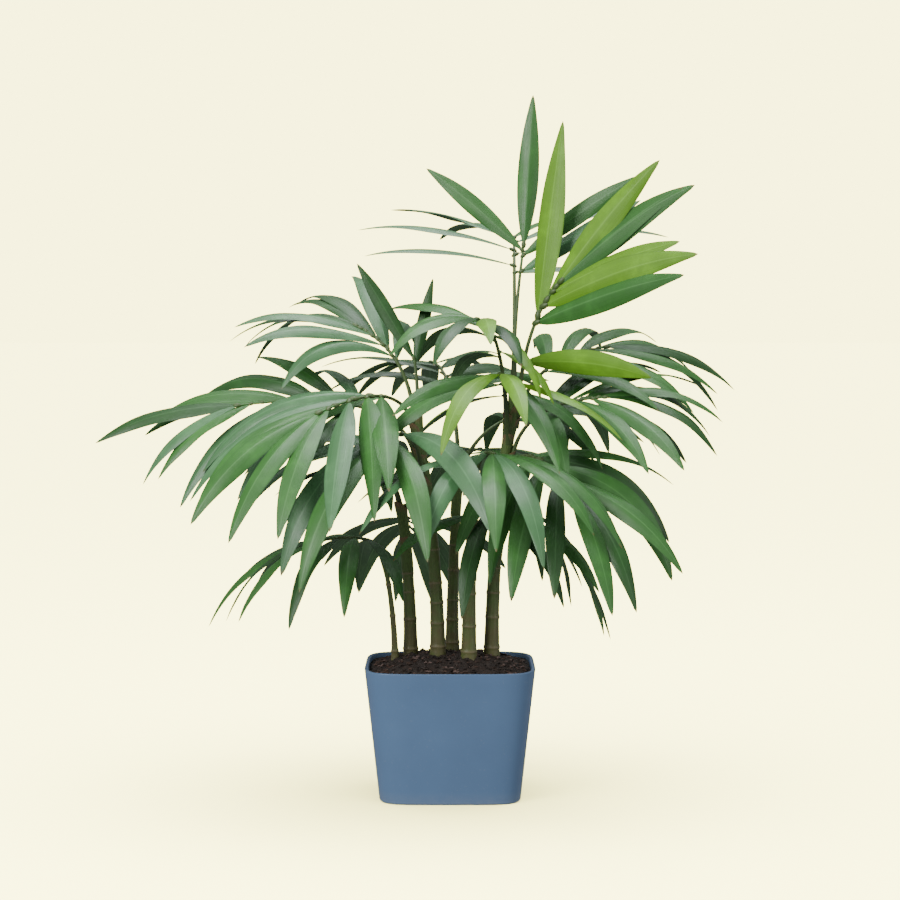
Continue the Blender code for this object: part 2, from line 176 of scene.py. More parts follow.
FRONDS = {
    "frond_top": Frond(
        "cane_tall", 1.0, (67, 10, 500), 66, 134, (58, 36), azimuth=80, around=-135,
        pairs=2, first=0.78, twist=6, droop=12, end=1, skip=(1,)),
    "frond_crest": Frond(
        "cane_tall", 0.97, (60, 90, 508), 130, 150, (88, 60), pairs=3, first=0.55,
        lift=18, droop=40, tilt=28, face_up=0.5),
    "frond_gold": Frond(
        "cane_tall", 0.93, (100, -18, 466), 80, 168, (60, 0), pairs=5, first=0.25,
        width=0.155, twist=-14, lift=5, droop=22, roll=80, end=1, skip=(1, 2, 3)),
    "frond_inner": Frond(
        "cane_tall", 0.9, (24, -32, 432), 84, 112, (85, 40), azimuth=-150, first=0.35,
        width=0.17, droop=85, tilt=45),
    "frond_bright": Frond(
        "cane_tall", 0.82, (44, -72, 384), 55, 132, (95, 40), pairs=3, first=0.4,
        lift=-5, tilt=50),
    "frond_right_high": Frond(
        "cane_tall", 0.88, (145, 35, 406), 60, 142, (60, 12), lift=5, droop=66, roll=25),
    "frond_right": Frond(
        "cane_tall", 0.76, (140, -30, 362), 50, 138, (65, 20), pairs=5, lift=5, droop=78,
        roll=30),
    "frond_right_front": Frond(
        "cane_tall", 0.66, (106, -90, 286), 50, 152, (80, 25), droop=97, tilt=30, roll=15),
    "frond_right_low": Frond(
        "cane_tall", 0.5, (108, -16, 226), 40, 95, (60, 20), pairs=2),
    "frond_front_high": Frond(
        "cane_front", 1.0, (38, -110, 316), 70, 165, (70, 30), pairs=3, lift=-5, droop=95,
        tilt=30),
    "frond_front_low": Frond(
        "cane_front", 0.85, (48, -98, 258), 40, 125, (70, 25), pairs=3, droop=100,
        tilt=35, end=1),
    "frond_left_front": Frond(
        "cane_middle", 0.95, (-116, -92, 350), 50, 180, (60, 18), droop=86, tilt=20,
        roll=-15),
    "frond_left_drop": Frond(
        "cane_middle", 0.74, (-58, -104, 324), 60, 175, (70, 25), pairs=2, first=0.6,
        droop=104, tilt=40),
    "frond_left_far": Frond(
        "cane_middle", 0.85, (-194, -25, 354), 62, 134, (58, 14), pairs=5, lift=4,
        droop=62, roll=-35),
    "frond_left_high": Frond(
        "cane_middle", 1.0, (-90, 20, 426), 60, 140, (50, 10), lift=4, droop=86, roll=-20),
    "frond_left_upright": Frond(
        "cane_middle", 1.0, (-33, 6, 400), 32, 96, (22, 20), azimuth=100, around=40,
        pairs=1, first=0.75, droop=5, end=1),
    "frond_left_under": Frond(
        "cane_inner_left", 1.0, (-100, -40, 296), 45, 92, (65, 20), pairs=2, lift=5,
        droop=70),
    "frond_left_low": Frond(
        "cane_left", 1.0, (-128, -32, 232), 17, 130, (95, 20), first=0.25, lift=5,
        droop=88),
    "frond_back_top": Frond(
        "cane_back", 1.0, (-20, 150, 390), 90, 130, (70, 30), lift=10, droop=60),
    "frond_back_right": Frond(
        "cane_back", 0.95, (130, 120, 350), 60, 130, (65, 30), lift=10, droop=70),
    "frond_back": Frond(
        "cane_back", 0.85, (40, 170, 300), 50, 130, (65, 30), lift=10, droop=80),
    "frond_back_left": Frond(
        "cane_inner_left", 0.95, (-110, 120, 320), 60, 130, (65, 30), lift=10, droop=70),
    "frond_back_low": Frond(
        "cane_inner_left", 0.8, (-40, 140, 226), 30, 120, (65, 30), lift=5, droop=85),
}

# The leaf tones that each frond's leaflets are dealt from. One of them is painted sheen: a
# greyish reflection painted into the leaflets' base colour.
TONES = ("dark", "fresh", "golden", "painted_sheen")
FROND_TONES = {
    "frond_top": ("painted_sheen", "fresh"),
    "frond_crest": ("painted_sheen", "fresh", "fresh"),
    "frond_gold": ("golden", "golden", "golden", "fresh"),
    "frond_inner": ("fresh", "golden", "dark"),
    "frond_bright": ("golden", "fresh"),
    "frond_front_high": ("fresh", "painted_sheen"),
    "frond_left_front": ("painted_sheen", "fresh"),
    "frond_left_drop": ("fresh", "painted_sheen"),
    "frond_left_far": ("fresh", "painted_sheen", "dark"),
    "frond_left_high": ("dark", "painted_sheen"),
    "frond_right_front": ("fresh", "dark"),
}
USUAL_TONES = ("dark", "fresh")


# The growing rule of the solids

def outer_half_width(z):
    return (POT_BASE_WIDTH + (POT_RIM_WIDTH - POT_BASE_WIDTH) * z / POT_HEIGHT) / 2


def square_plan(angle, half_width):
    """The point of the planter's rounded square plan at an angle."""
    across, along = abs(math.cos(angle)), abs(math.sin(angle))
    corner = (across**POT_SQUARENESS + along**POT_SQUARENESS) ** (1 / POT_SQUARENESS)
    return half_width / corner * math.cos(angle), half_width / corner * math.sin(angle)


def soil_height(x, y):
    """Height of the soil over a point, without its crumbs."""
    half = outer_half_width(POT_HEIGHT) - POT_WALL
    middle = max(0.0, 1 - (x * x + y * y) / (half * half))
    a, b, c, d = SOIL_LUMP_WAVES
    lumps = math.sin(x * a) * math.cos(y * b) + 0.6 * math.sin(x * c + y * d)
    near_wall = min(1.0, 2.5 * middle)
    mound = SOIL_MOUND * middle**SOIL_MOUND_POWER
    return POT_HEIGHT - SOIL_BELOW_RIM + mound + SOIL_LUMP * lumps * near_wall


def bezier(a, b, c, t):
    return a * (1 - t) ** 2 + b * 2 * t * (1 - t) + c * t * t


def bezier_slope(a, b, c, t):
    return ((b - a) * (1 - t) + (c - b) * t).normalized()


class Cane:
    """The line and radius of one cane, from its foot in the soil to its top."""

    def __init__(self, foot_x, foot_y, top_x, top_y, top_z, radius):
        x, y = foot_x * MM, foot_y * MM
        self.foot = Vector((x, y, soil_height(x, y) - SOCKET_DEPTH))
        self.top = Vector((top_x, top_y, top_z)) * MM
        self.bend = Vector((x, y, (self.foot.z + self.top.z) / 2))
        self.foot_radius = radius * MM

    def at(self, t):
        return bezier(self.foot, self.bend, self.top, t)

    def axis(self, t):
        return bezier_slope(self.foot, self.bend, self.top, t)

    def length(self):
        return (self.top - self.foot).length

    def radius(self, t):
        flare = CANE_FLARE * math.exp(-CANE_FLARE_FADE * t)
        rounding = 1 - CANE_TOP_ROUNDING * t**CANE_TOP_POWER
        return self.foot_radius * (1 - CANE_TAPER * t) * rounding + flare


class Stalk:
    """The line of one frond's stalk, with its tangent, side and upper face."""

    def __init__(self, frond, cane, solid):
        axis = cane.at(frond.foot)
        away = frond.tip - axis
        azimuth = math.atan2(away.y, away.x)
        if frond.azimuth is not None:
            azimuth = math.radians(frond.azimuth)
        around = azimuth if frond.around is None else math.radians(frond.around)
        self.out = Vector((math.cos(azimuth), math.sin(azimuth), 0))
        self.inward = -Vector((math.cos(around), math.sin(around), 0))
        reach = cane.radius(frond.foot) + STALK_FOOT_RADIUS + GAP
        foot = axis - self.inward * reach
        seat = self.inward * seat_of(solid, foot, self.inward)
        self.foot = foot + seat
        self.knee = self.foot + Vector((away.x, away.y, 0)) * STALK_LEAN + UP * frond.knee
        self.tip = frond.tip + seat
        self.roll = frond.roll

    def at(self, t):
        return bezier(self.foot, self.knee, self.tip, t)

    def radius(self, t):
        return STALK_FOOT_RADIUS + (STALK_TIP_RADIUS - STALK_FOOT_RADIUS) * t

    def frame(self, t):
        tangent = bezier_slope(self.foot, self.knee, self.tip, t)
        side = self.out.cross(UP)
        side = (side - tangent * side.dot(tangent)).normalized()
        side = Matrix.Rotation(self.roll, 3, tangent) @ side
        return tangent, side, side.cross(tangent)


class Leaflet:
    """One leaflet's midrib, worked out in steps that bend towards the ground."""

    def __init__(self, root, direction, upper, length, width, droop, fullest):
        self.length, self.width, self.fullest = length, width, fullest
        point, tangent = root.copy(), direction.normalized()
        across = tangent.cross(upper).normalized()
        self.stations = [(point, tangent, across)]
        for i in range(LEAF_STEPS):
            bend = droop / LEAF_STEPS * (0.5 + i / LEAF_STEPS)
            tangent = (tangent - UP * bend).normalized()
            across = (across - tangent * across.dot(tangent)).normalized()
            point = point + tangent * length / LEAF_STEPS
            self.stations.append((point, tangent, across))

    def half_width(self, u):
        """Half width at u from the root (0) to the tip (1)."""
        belly = math.sin(math.pi * u**self.fullest) ** LEAF_BELLY_POWER if 0 < u < 1 else 0.0
        return self.width / 2 * max(LEAF_ROOT_SHARE * (1 - u), belly)

    def at(self, u):
        """Point, tangent and side on a smooth curve through the steps."""
        place = min(u, 0.9999) * LEAF_STEPS
        i = int(place)
        start, end = self.stations[i], self.stations[i + 1]
        before, after = self.stations[max(i - 1, 0)], self.stations[min(i + 2, LEAF_STEPS)]
        handle_out = start[0] + (end[0] - before[0]) / 6
        handle_in = end[0] - (after[0] - start[0]) / 6
        share = place - i
        near = bezier(start[0], handle_out, handle_in, share)
        far = bezier(handle_out, handle_in, end[0], share)
        tangent = start[1].lerp(end[1], share).normalized()
        return near.lerp(far, share), tangent, start[2].lerp(end[2], share).normalized()


def solid_corners(node):
    """A search tree over the corners of a CAD node."""
    places = sorted({tuple(v.co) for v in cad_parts[node].data.vertices})
    tree = KDTree(len(places))
    for i, place in enumerate(places):
        tree.insert(place, i)
    tree.balance()
    return tree


def seat_of(solid, foot, inward):
    """How far inward of its rule a frond's solid was seated, from its foot ring."""

    def miss(step):
        middle = foot + inward * step * SEAT_STEP
        ring = solid.find_n(middle, STALK_FOOT_CORNERS)
        return sum(abs(found[2] - STALK_FOOT_RADIUS) for found in ring)

    return min(range(*SEAT_STEPS), key=miss) * SEAT_STEP


def leaflet_places(frond):
    """Place along the stalk, side, angle off it and share of full length, one a leaflet."""
    base, tip = frond.spread
    places = []
    for i in range(frond.pairs):
        for side, offset in PAIR_OFFSETS:
            u = (i + offset) / frond.pairs
            t = frond.first + (1 - frond.first) * u * LEAF_RANGE
            angle = base + (tip - base) * u - side * frond.twist
            share = 1 - MIDDLE_LEAF_GAIN * (1 - math.sin(math.pi * u))
            places.append((t, side, angle, share))
    if frond.end == 1:
        places.append((LEAF_LAST, 1, 0.0, 1.0))
    if frond.end == 2:
        for side, share in zip((1, -1), END_LEAF_SHARES):
            places.append((LEAF_LAST, side, tip * END_LEAF_ANGLE_SHARE, share))
    return [place for i, place in enumerate(places) if i not in frond.skip]


def grow_leaflets(name, frond, stalk, solid):
    """The frond's leaflets, each raised or lowered to where its solid has a tip."""
    rng = random.Random(name)
    grown = []
    for t, side, angle, share in leaflet_places(frond):
        tangent, across, face = stalk.frame(t)
        angle += rng.uniform(-ANGLE_VARIATION, ANGLE_VARIATION)
        length = frond.leaf * share * rng.uniform(*LENGTH_VARIATION)
        droop = frond.droop * rng.uniform(*DROOP_VARIATION)
        tilt = frond.tilt + rng.uniform(-TILT_VARIATION, TILT_VARIATION)
        fullest = rng.uniform(*LEAF_FULLEST)
        upper = face * math.cos(tilt) + tangent * math.sin(tilt)
        upper = upper * (1 - frond.face_up) + UP * frond.face_up
        for step in LEAF_LIFTS:
            rise = frond.lift + math.radians(step)
            sideways = across * side * math.cos(rise) + face * math.sin(rise)
            direction = tangent * math.cos(angle) + sideways * math.sin(angle)
            leaf = Leaflet(
                stalk.at(t), direction, upper, length, length * frond.width, droop, fullest)
            if solid.find(leaf.stations[-1][0])[2] < TIP_MATCH:
                grown.append(leaf)
                break
    return grown


def grown_stalk(name):
    """A frond's stalk, seated as its solid is, and the corners of that solid."""
    frond, solid = FRONDS[name], solid_corners(name)
    return Stalk(frond, Cane(*CANES[frond.cane]), solid), solid


# Helpers that shape meshes

def shaped_grid(bm, along, across, shape):
    """A grid with its own UV map, moved onto shape(u, v), with u and v from 0 to 1."""
    made = bmesh.ops.create_grid(bm, x_segments=along, y_segments=across, size=0.5)
    verts = made["verts"]
    layer = bm.loops.layers.uv.verify()
    for face in {face for v in verts for face in v.link_faces}:
        for loop in face.loops:
            loop[layer].uv = (loop.vert.co.x + 0.5, loop.vert.co.y + 0.5)
    for v in verts:
        v.co = shape(v.co.x + 0.5, v.co.y + 0.5)
    return verts


def faces_of(verts):
    return {face for v in verts for face in v.link_faces}


def by_place(verts):
    """Corners sorted by place, because a set of them comes in no fixed order."""
    return sorted(verts, key=lambda v: tuple(round(c, 5) for c in v.co))


def paint(faces, index):
    for face in faces:
        face.material_index = index


def close_ends(bm):
    """Fills the open ends of a welded tube."""
    bmesh.ops.remove_doubles(bm, verts=bm.verts, dist=WELD)
    open_edges = [edge for edge in bm.edges if edge.is_boundary]
    bmesh.ops.holes_fill(bm, edges=open_edges, sides=0)


def finish_piece(name, bm, materials, nodes, sharp=50):
    """A finished piece from a bmesh: it rides on the plant and stands for its nodes."""
    bmesh.ops.recalc_face_normals(bm, faces=bm.faces)
    mesh = bpy.data.meshes.new(name)
    bm.to_mesh(mesh)
    bm.free()
    mesh.shade_smooth()
    mesh.set_sharp_from_angle(angle=math.radians(sharp))
    if mesh.uv_layers:
        mesh.uv_layers[0].name = "surface"
    for made in materials:
        mesh.materials.append(made)
    piece = bpy.data.objects.new(name, mesh)
    bpy.context.scene.collection.objects.link(piece)
    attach(piece, "root")
    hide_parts(*nodes)
    return piece


# Helpers that build materials

class Nodes:
    """Adds nodes to a tree and links them."""

    def __init__(self, tree):
        self.tree = tree

    def add(self, kind, values=None, **settings):
        made = self.tree.nodes.new("ShaderNode" + kind)
        for key, value in settings.items():
            setattr(made, key, value)
        for key, value in (values or {}).items():
            self.feed(made.inputs[key], value)
        return made

    def feed(self, socket, value):
        if isinstance(value, bpy.types.NodeSocket):
            self.tree.links.new(value, socket)
        else:
            socket.default_value = value

    def math(self, operation, *values):
        sockets = dict(enumerate(values))
        return self.add("Math", sockets, operation=operation).outputs[0]

    def noise(self, where, scale, detail=3.0, roughness=0.5):
        values = {"Vector": where, "Scale": scale, "Detail": detail, "Roughness": roughness}
        return self.add("TexNoise", values).outputs["Fac"]

    def ramp(self, value, low, high, start=0.0, end=1.0):
        values = {"Value": value, 1: low, 2: high, 3: start, 4: end}
        return self.add("MapRange", values).outputs[0]

    def mix(self, factor, first, second):
        made = self.add("Mix", {0: factor}, data_type="RGBA")
        self.feed(made.inputs[6], first)
        self.feed(made.inputs[7], second)
        return made.outputs[2]

    def group(self, tree, values):
        made = self.add("Group", node_tree=tree)
        for key, value in values.items():
            self.feed(made.inputs[key], value)
        return made.outputs


def rgba(colour):
    return (*colour, 1)


def new_group(name, inputs, outputs):
    """A shader node group with its named sockets, as Nodes, group input and output."""
    tree = bpy.data.node_groups.new(name, "ShaderNodeTree")
    for label, kind in inputs:
        tree.interface.new_socket(label, in_out="INPUT", socket_type="NodeSocket" + kind)
    for label, kind in outputs:
        tree.interface.new_socket(label, in_out="OUTPUT", socket_type="NodeSocket" + kind)
    source = tree.nodes.new("NodeGroupInput").outputs
    target = tree.nodes.new("NodeGroupOutput").inputs
    return tree, Nodes(tree), source, target


def mottle_group():
    """Two colours that run into each other in soft patches."""
    tree, nodes, source, target = new_group(
        "soft_mottle",
        [("Coordinates", "Vector"), ("Scale", "Float"), ("Balance", "Float"),
         ("First", "Color"), ("Second", "Color")],
        [("Colour", "Color"), ("Mask", "Float")])
    patches = nodes.noise(source["Coordinates"], source["Scale"], 4.0, 0.6)
    mask = nodes.ramp(nodes.math("ADD", patches, source["Balance"]), 0.35, 0.65)
    nodes.feed(target["Mask"], mask)
    nodes.feed(target["Colour"], nodes.mix(mask, source["First"], source["Second"]))
    return tree


def fibre_group():
    """Fine uneven lines that run along a surface, as a mask from 0 to 1."""
    tree, nodes, source, target = new_group(
        "fibre_lines",
        [("Surface", "Vector"), ("Lines", "Float"), ("Stretch", "Float")],
        [("Lines", "Float")])
    split = nodes.add("SeparateXYZ", {0: source["Surface"]}).outputs
    along = nodes.math("MULTIPLY", split[0], source["Stretch"])
    across = nodes.math("MULTIPLY", split[1], source["Lines"])
    joined = nodes.add("CombineXYZ", {0: along, 1: across}).outputs[0]
    uneven = nodes.noise(joined, 1.0, 2.0, 0.5)
    nodes.feed(target["Lines"], nodes.ramp(uneven, 0.3, 0.7))
    return tree


def speck_group():
    """Small scattered specks, as a mask."""
    tree, nodes, source, target = new_group(
        "fine_specks",
        [("Coordinates", "Vector"), ("Scale", "Float"), ("Rarity", "Float")],
        [("Mask", "Float")])
    specks = nodes.noise(source["Coordinates"], source["Scale"], 2.0, 0.5)
    above = nodes.math("SUBTRACT", specks, source["Rarity"])
    nodes.feed(target["Mask"], nodes.ramp(above, 0.0, 0.05))
    return tree


def shared_group(name):
    """One of the effects that several materials use, built once."""
    makers = {"soft_mottle": mottle_group, "fibre_lines": fibre_group, "fine_specks": speck_group}
    return bpy.data.node_groups.get(name) or makers[name]()


def new_material(name):
    """A material and its Nodes, shader, object coordinates and surface coordinates."""
    made = bpy.data.materials.new(name)
    made.use_nodes = True
    nodes = Nodes(made.node_tree)
    shader = made.node_tree.nodes["Principled BSDF"]
    place = nodes.add("TexCoord").outputs["Object"]
    surface = nodes.add("UVMap", uv_map="surface").outputs[0]
    return made, nodes, shader.inputs, place, surface


def bump(nodes, sockets, height, strength, distance):
    values = {"Height": height, "Strength": strength, "Distance": distance}
    nodes.feed(sockets["Normal"], nodes.add("Bump", values).outputs[0])


def plastic_material(colour, shade):
    """Matte moulded plastic: a fine grain, a little dust, and a patchy painted highlight along
    the base.
    """
    made, nodes, sockets, place, _ = new_material("planter_plastic")
    mottle = nodes.group(shared_group("soft_mottle"), {
        "Coordinates": place, "Scale": 9.0, "Balance": 0.0,
        "First": rgba(colour), "Second": rgba(shade)})
    dust = nodes.group(shared_group("fine_specks"), {
        "Coordinates": place, "Scale": 420.0, "Rarity": 0.66})
    # Painted highlight: a paler band along the lowest 12 mm of the planter, broken up by noise
    height = nodes.add("SeparateXYZ", {0: place}).outputs[2]
    low = nodes.ramp(height, 0.0, 0.012, 1.0, 0.0)
    painted_base_highlight = nodes.math("MULTIPLY", low, nodes.noise(place, 160.0, 4.0, 0.7))
    pale = [0.5 * channel + 0.2 for channel in colour]
    base_highlighted = nodes.mix(nodes.math("MULTIPLY", painted_base_highlight, 0.5), mottle["Colour"], rgba(pale))
    dusty = nodes.mix(nodes.math("MULTIPLY", dust["Mask"], 0.12), base_highlighted, rgba(pale))
    nodes.feed(sockets["Base Color"], dusty)
    nodes.feed(sockets["Roughness"], nodes.ramp(nodes.noise(place, 60.0), 0.3, 0.7, 0.4, 0.5))
    bump(nodes, sockets, nodes.noise(place, 1500.0, 2.0), 0.12, 0.1 * MM)
    return made


def soil_material(name, colour, shade):
    """Damp crumbly soil or bark."""
    made, nodes, sockets, place, _ = new_material(name)
    mottle = nodes.group(shared_group("soft_mottle"), {
        "Coordinates": place, "Scale": 260.0, "Balance": -0.05,
        "First": rgba(colour), "Second": rgba(shade)})
    damp = nodes.noise(place, 90.0)
    nodes.feed(sockets["Base Color"], mottle["Colour"])
    nodes.feed(sockets["Roughness"], nodes.ramp(damp, 0.4, 0.65, 0.95, 0.7))
    bump(nodes, sockets, nodes.noise(place, 1400.0, 5.0, 0.7), 0.6, 0.4 * MM)
    return made


def cane_material(young, old, scar):
    """Smooth green cane skin: fine lines, brown towards the soil, pale leaf scars."""
    made, nodes, sockets, place, surface = new_material("cane_skin")
    height = nodes.add("SeparateXYZ", {0: place}).outputs[2]
    ageing = nodes.ramp(height, POT_HEIGHT, POT_HEIGHT + 0.09, 0.12, -0.12)
    mottle = nodes.group(shared_group("soft_mottle"), {
        "Coordinates": place, "Scale": 70.0, "Balance": ageing,
        "First": rgba(young), "Second": rgba(old)})
    lines = nodes.group(shared_group("fibre_lines"), {
        "Surface": surface, "Lines": 44.0, "Stretch": 9.0})["Lines"]
    specks = nodes.group(shared_group("fine_specks"), {
        "Coordinates": place, "Scale": 900.0, "Rarity": 0.62})["Mask"]
    dark = [0.45 * channel for channel in old]
    lined = nodes.mix(nodes.math("MULTIPLY", lines, 0.35), mottle["Colour"], rgba(dark))
    speckled = nodes.mix(nodes.math("MULTIPLY", specks, 0.5), lined, rgba(scar))
    ring = nodes.add("Attribute", attribute_name="scar").outputs["Fac"]
    nodes.feed(sockets["Base Color"], nodes.mix(ring, speckled, rgba(scar)))
    nodes.feed(sockets["Roughness"], nodes.ramp(lines, 0.0, 1.0, 0.42, 0.55))
    bump(nodes, sockets, lines, 0.25, 0.15 * MM)
    return made


def fibrous_material(name, colour, dry, roughness):
    """A leaf sheath or stalk: lengthwise fibres, dry and papery at its upper edge."""
    made, nodes, sockets, place, surface = new_material(name)
    lines = nodes.group(shared_group("fibre_lines"), {
        "Surface": surface, "Lines": 26.0, "Stretch": 5.0})["Lines"]
    dark = [0.5 * channel for channel in colour]
    lined = nodes.mix(nodes.math("MULTIPLY", lines, 0.5), rgba(colour), rgba(dark))
    along = nodes.add("SeparateXYZ", {0: surface}).outputs[0]
    uneven = nodes.math("ADD", along, nodes.ramp(nodes.noise(place, 180.0), 0, 1, -0.2, 0.2))
    nodes.feed(sockets["Base Color"], nodes.mix(
        nodes.ramp(uneven, 0.72, 0.98), lined, rgba(dry)))
    nodes.feed(sockets["Roughness"], nodes.ramp(lines, 0, 1, roughness, roughness + 0.15))
    bump(nodes, sockets, lines, 0.4, 0.2 * MM)
    return made


def leaf_material(name, colour, veins, roughness):
    """Leaf skin: a pale midrib, fine veins, soft patches, and a dry tip."""
    made, nodes, sockets, place, surface = new_material(name)
    deep = [0.55 * channel for channel in colour]
    fresh = [1.3 * channel for channel in colour]
    mottle = nodes.group(shared_group("soft_mottle"), {
        "Coordinates": place, "Scale": 38.0, "Balance": 0.0,
        "First": rgba(deep), "Second": rgba(fresh)})
    lines = nodes.group(shared_group("fibre_lines"), {
        "Surface": surface, "Lines": 34.0, "Stretch": 3.0})["Lines"]
    split = nodes.add("SeparateXYZ", {0: surface}).outputs
    from_rib = nodes.math("ABSOLUTE", nodes.math("SUBTRACT", split[1], 0.5))
    base = nodes.mix(nodes.ramp(mottle["Mask"], 0, 1, 0.2, 0.8), rgba(colour), mottle["Colour"])
    veined = nodes.mix(nodes.math("MULTIPLY", lines, 0.3), base, rgba(deep))
    ribbed = nodes.mix(nodes.ramp(from_rib, 0.012, 0.04, veins, 0.0), veined, rgba(
        [1.5 * channel + 0.03 for channel in colour]))
    edge = nodes.ramp(from_rib, 0.44, 0.5, 0.0, 0.6)
    edged = nodes.mix(edge, ribbed, rgba([0.5 * channel for channel in colour]))
    uneven = nodes.math("ADD", split[0], nodes.ramp(nodes.noise(place, 60.0), 0, 1, -0.03, 0.03))
    dry = nodes.ramp(uneven, 0.965, 1.0)
    nodes.feed(sockets["Base Color"], nodes.mix(dry, edged, (0.16, 0.09, 0.03, 1)))
    gloss = nodes.ramp(nodes.noise(place, 26.0), 0.35, 0.65, roughness, roughness + 0.14)
    nodes.feed(sockets["Roughness"], gloss)
    ripple = nodes.math("MULTIPLY", nodes.noise(place, 300.0), 0.5)
    bump(nodes, sockets, nodes.math("ADD", lines, ripple), 0.35, 0.25 * MM)
    return made


# Settings that a user would change

def length_property(name, description, default):
    return FloatProperty(
        name=name, description=description, default=default, min=0, subtype="DISTANCE",
        unit="LENGTH", precision=4)


def colour_property(name, description, default):
    return FloatVectorProperty(
        name=name, description=description, default=default, min=0, max=1, size=3,
        subtype="COLOR")


class PlanterSettings(PropertyGroup):
    base_round: length_property("Base Edge", "Radius of the planter's lower edge", 1.2 * MM)
    rim_round: length_property("Rim Edge", "Radius of both edges of the rim", 0.9 * MM)
    floor_round: length_property("Inner Corner", "Radius between inner wall and floor", 3 * MM)
    colour: colour_property("Colour", "Colour of the plastic", (0.105, 0.185, 0.325))
    shade: colour_property("Shade", "Colour of its darker patches", (0.095, 0.165, 0.29))


class SoilSettings(PropertyGroup):
    crumb: length_property("Crumbs", "Height of the crumbs", 1.1 * MM)
    chips: IntProperty(
        name="Bark Chips", description="Number of bark chips on the soil", default=260, min=0)
    grains: IntProperty(
        name="Grains", description="Number of loose grains on the soil", default=520, min=0)
    colour: colour_property("Colour", "Colour of the damp soil", (0.014, 0.008, 0.006))
    shade: colour_property("Shade", "Colour of its drier crumbs", (0.045, 0.028, 0.02))
    bark: colour_property("Bark", "Colour of the brown chips", (0.075, 0.04, 0.028))
    pale: colour_property("Pale Bark", "Colour of the pale chips", (0.16, 0.105, 0.09))


class CaneSettings(PropertyGroup):
    spacing: length_property("Node Spacing", "Usual length between two leaf scars", 30 * MM)
    swelling: length_property("Node Swelling", "How far a leaf scar stands out", 0.55 * MM)
    sheath: length_property("Sheath", "Usual length of a leaf sheath", 30 * MM)
    young: colour_property("Young Skin", "Colour of the upper cane", (0.115, 0.19, 0.045))
    old: colour_property("Old Skin", "Colour of the lower cane", (0.15, 0.14, 0.05))
    scar: colour_property("Scar", "Colour of the leaf scars", (0.24, 0.2, 0.11))
    dry: colour_property("Dry Sheath", "Colour of a sheath's papery edge", (0.2, 0.13, 0.06))


class LeafSettings(PropertyGroup):
    thickness: length_property("Thickness", "Thickness of a leaflet", 0.45 * MM)
    pleat: length_property("Pleat", "Height of the pleats along a leaflet", 0.22 * MM)
    rib: length_property("Midrib", "Height of the midrib under a leaflet", 0.5 * MM)
    ruffle: length_property("Ruffle", "How far the margins wave", 0.9 * MM)
    dark: colour_property("Dark", "Colour of old leaflets", (0.02, 0.085, 0.013))
    fresh: colour_property("Fresh", "Colour of most leaflets", (0.042, 0.16, 0.026))
    golden: colour_property("Golden", "Colour of the young fan", (0.14, 0.33, 0.014))
    # Painted sheen: a greyish reflection of light painted into the base colour of the leaflets
    # dealt this tone
    painted_sheen: colour_property("Silvery", "Colour of the pale leaflets", (0.075, 0.2, 0.075))
    under: colour_property("Underside", "Colour of the undersides", (0.075, 0.17, 0.06))
    stalk: colour_property("Stalk", "Colour of the leaf stalks", (0.07, 0.12, 0.03))


class StageSettings(PropertyGroup):
    distance: length_property("Distance", "From the camera to its target", 2.3)
    target: length_property("Target Height", "Height of the camera's target", 0.313)
    rise: FloatProperty(
        name="Elevation", description="Height of the camera over the horizon",
        default=math.radians(3.216), subtype="ANGLE", unit="ROTATION")
    lens: FloatProperty(
        name="Lens", description="Focal length", default=101.36, min=1, unit="CAMERA")
    glow: FloatProperty(
        name="Backdrop", description="Brightness of the backdrop", default=7.1, min=0)
    backdrop: colour_property("Backdrop Colour", "Colour of the backdrop", (1.0, 0.93, 0.333))


# Planter

def arc(middle, radius, start, end, steps):
    """Points round part of a circle, from one angle in degrees to another."""
    points = []
    for i in range(steps + 1):
        angle = math.radians(start + (end - start) * i / steps)
        points.append((
            middle[0] + radius * math.cos(angle), middle[1] + radius * math.sin(angle)))
    return points


def planter_profile(base_round, rim_round, floor_round):
    """Inset from the outer wall and height of each ring, from the underside to the floor."""
    profile = [(-x, z) for x, z in arc((-base_round, base_round), base_round, -90, 0, 6)]
    wall_steps = 12
    bottom, top = base_round, POT_HEIGHT - rim_round
    for i in range(1, wall_steps):
        profile.append((0, bottom + (top - bottom) * i / wall_steps))
    profile += [(-x, z) for x, z in arc((-rim_round, top), rim_round, 0, 90, 6)]
    inner = POT_WALL - rim_round
    profile += [(-x, z) for x, z in arc((-inner, top), rim_round, 90, 180, 6)]
    corner = (-POT_WALL - floor_round, POT_FLOOR + floor_round)
    for i in range(1, wall_steps):
        profile.append((POT_WALL, top + (corner[1] - top) * i / wall_steps))
    profile += [(-x, z) for x, z in arc(corner, floor_round, 0, -90, 6)]
    return profile


class PALM_OT_planter(Operator):
    """Make the hollow planter with its rounded edges"""

    bl_idname = "palm.make_planter"
    bl_label = "Make Planter"

    def execute(self, context):
        sizes = context.scene.palm_planter
        profile = planter_profile(sizes.base_round, sizes.rim_round, sizes.floor_round)

        def shape(u, v):
            inset, z = profile[round(u * (len(profile) - 1))]
            x, y = square_plan(2 * math.pi * v, outer_half_width(z) - inset)
            return Vector((x, y, z))

        bm = bmesh.new()
        shaped_grid(bm, len(profile) - 1, PLANTER_AROUND, shape)
        close_ends(bm)
        plastic = plastic_material(sizes.colour, sizes.shade)
        finish_piece("planter_shell", bm, [plastic], ["planter"])
        return {"FINISHED"}


# Soil

def crumbs(x, y, height):
    """Height of the crumbs over a point of the soil."""
    place = Vector((x, y, 0))
    coarse = noise.noise(place * 240) + 0.5 * noise.noise(place * 610)
    fine = noise.noise(place * 1500)
    return height * (coarse + 0.3 * fine)


def jitter(verts, rng, share):
    for v in verts:
        v.co *= 1 + rng.uniform(-share, share)


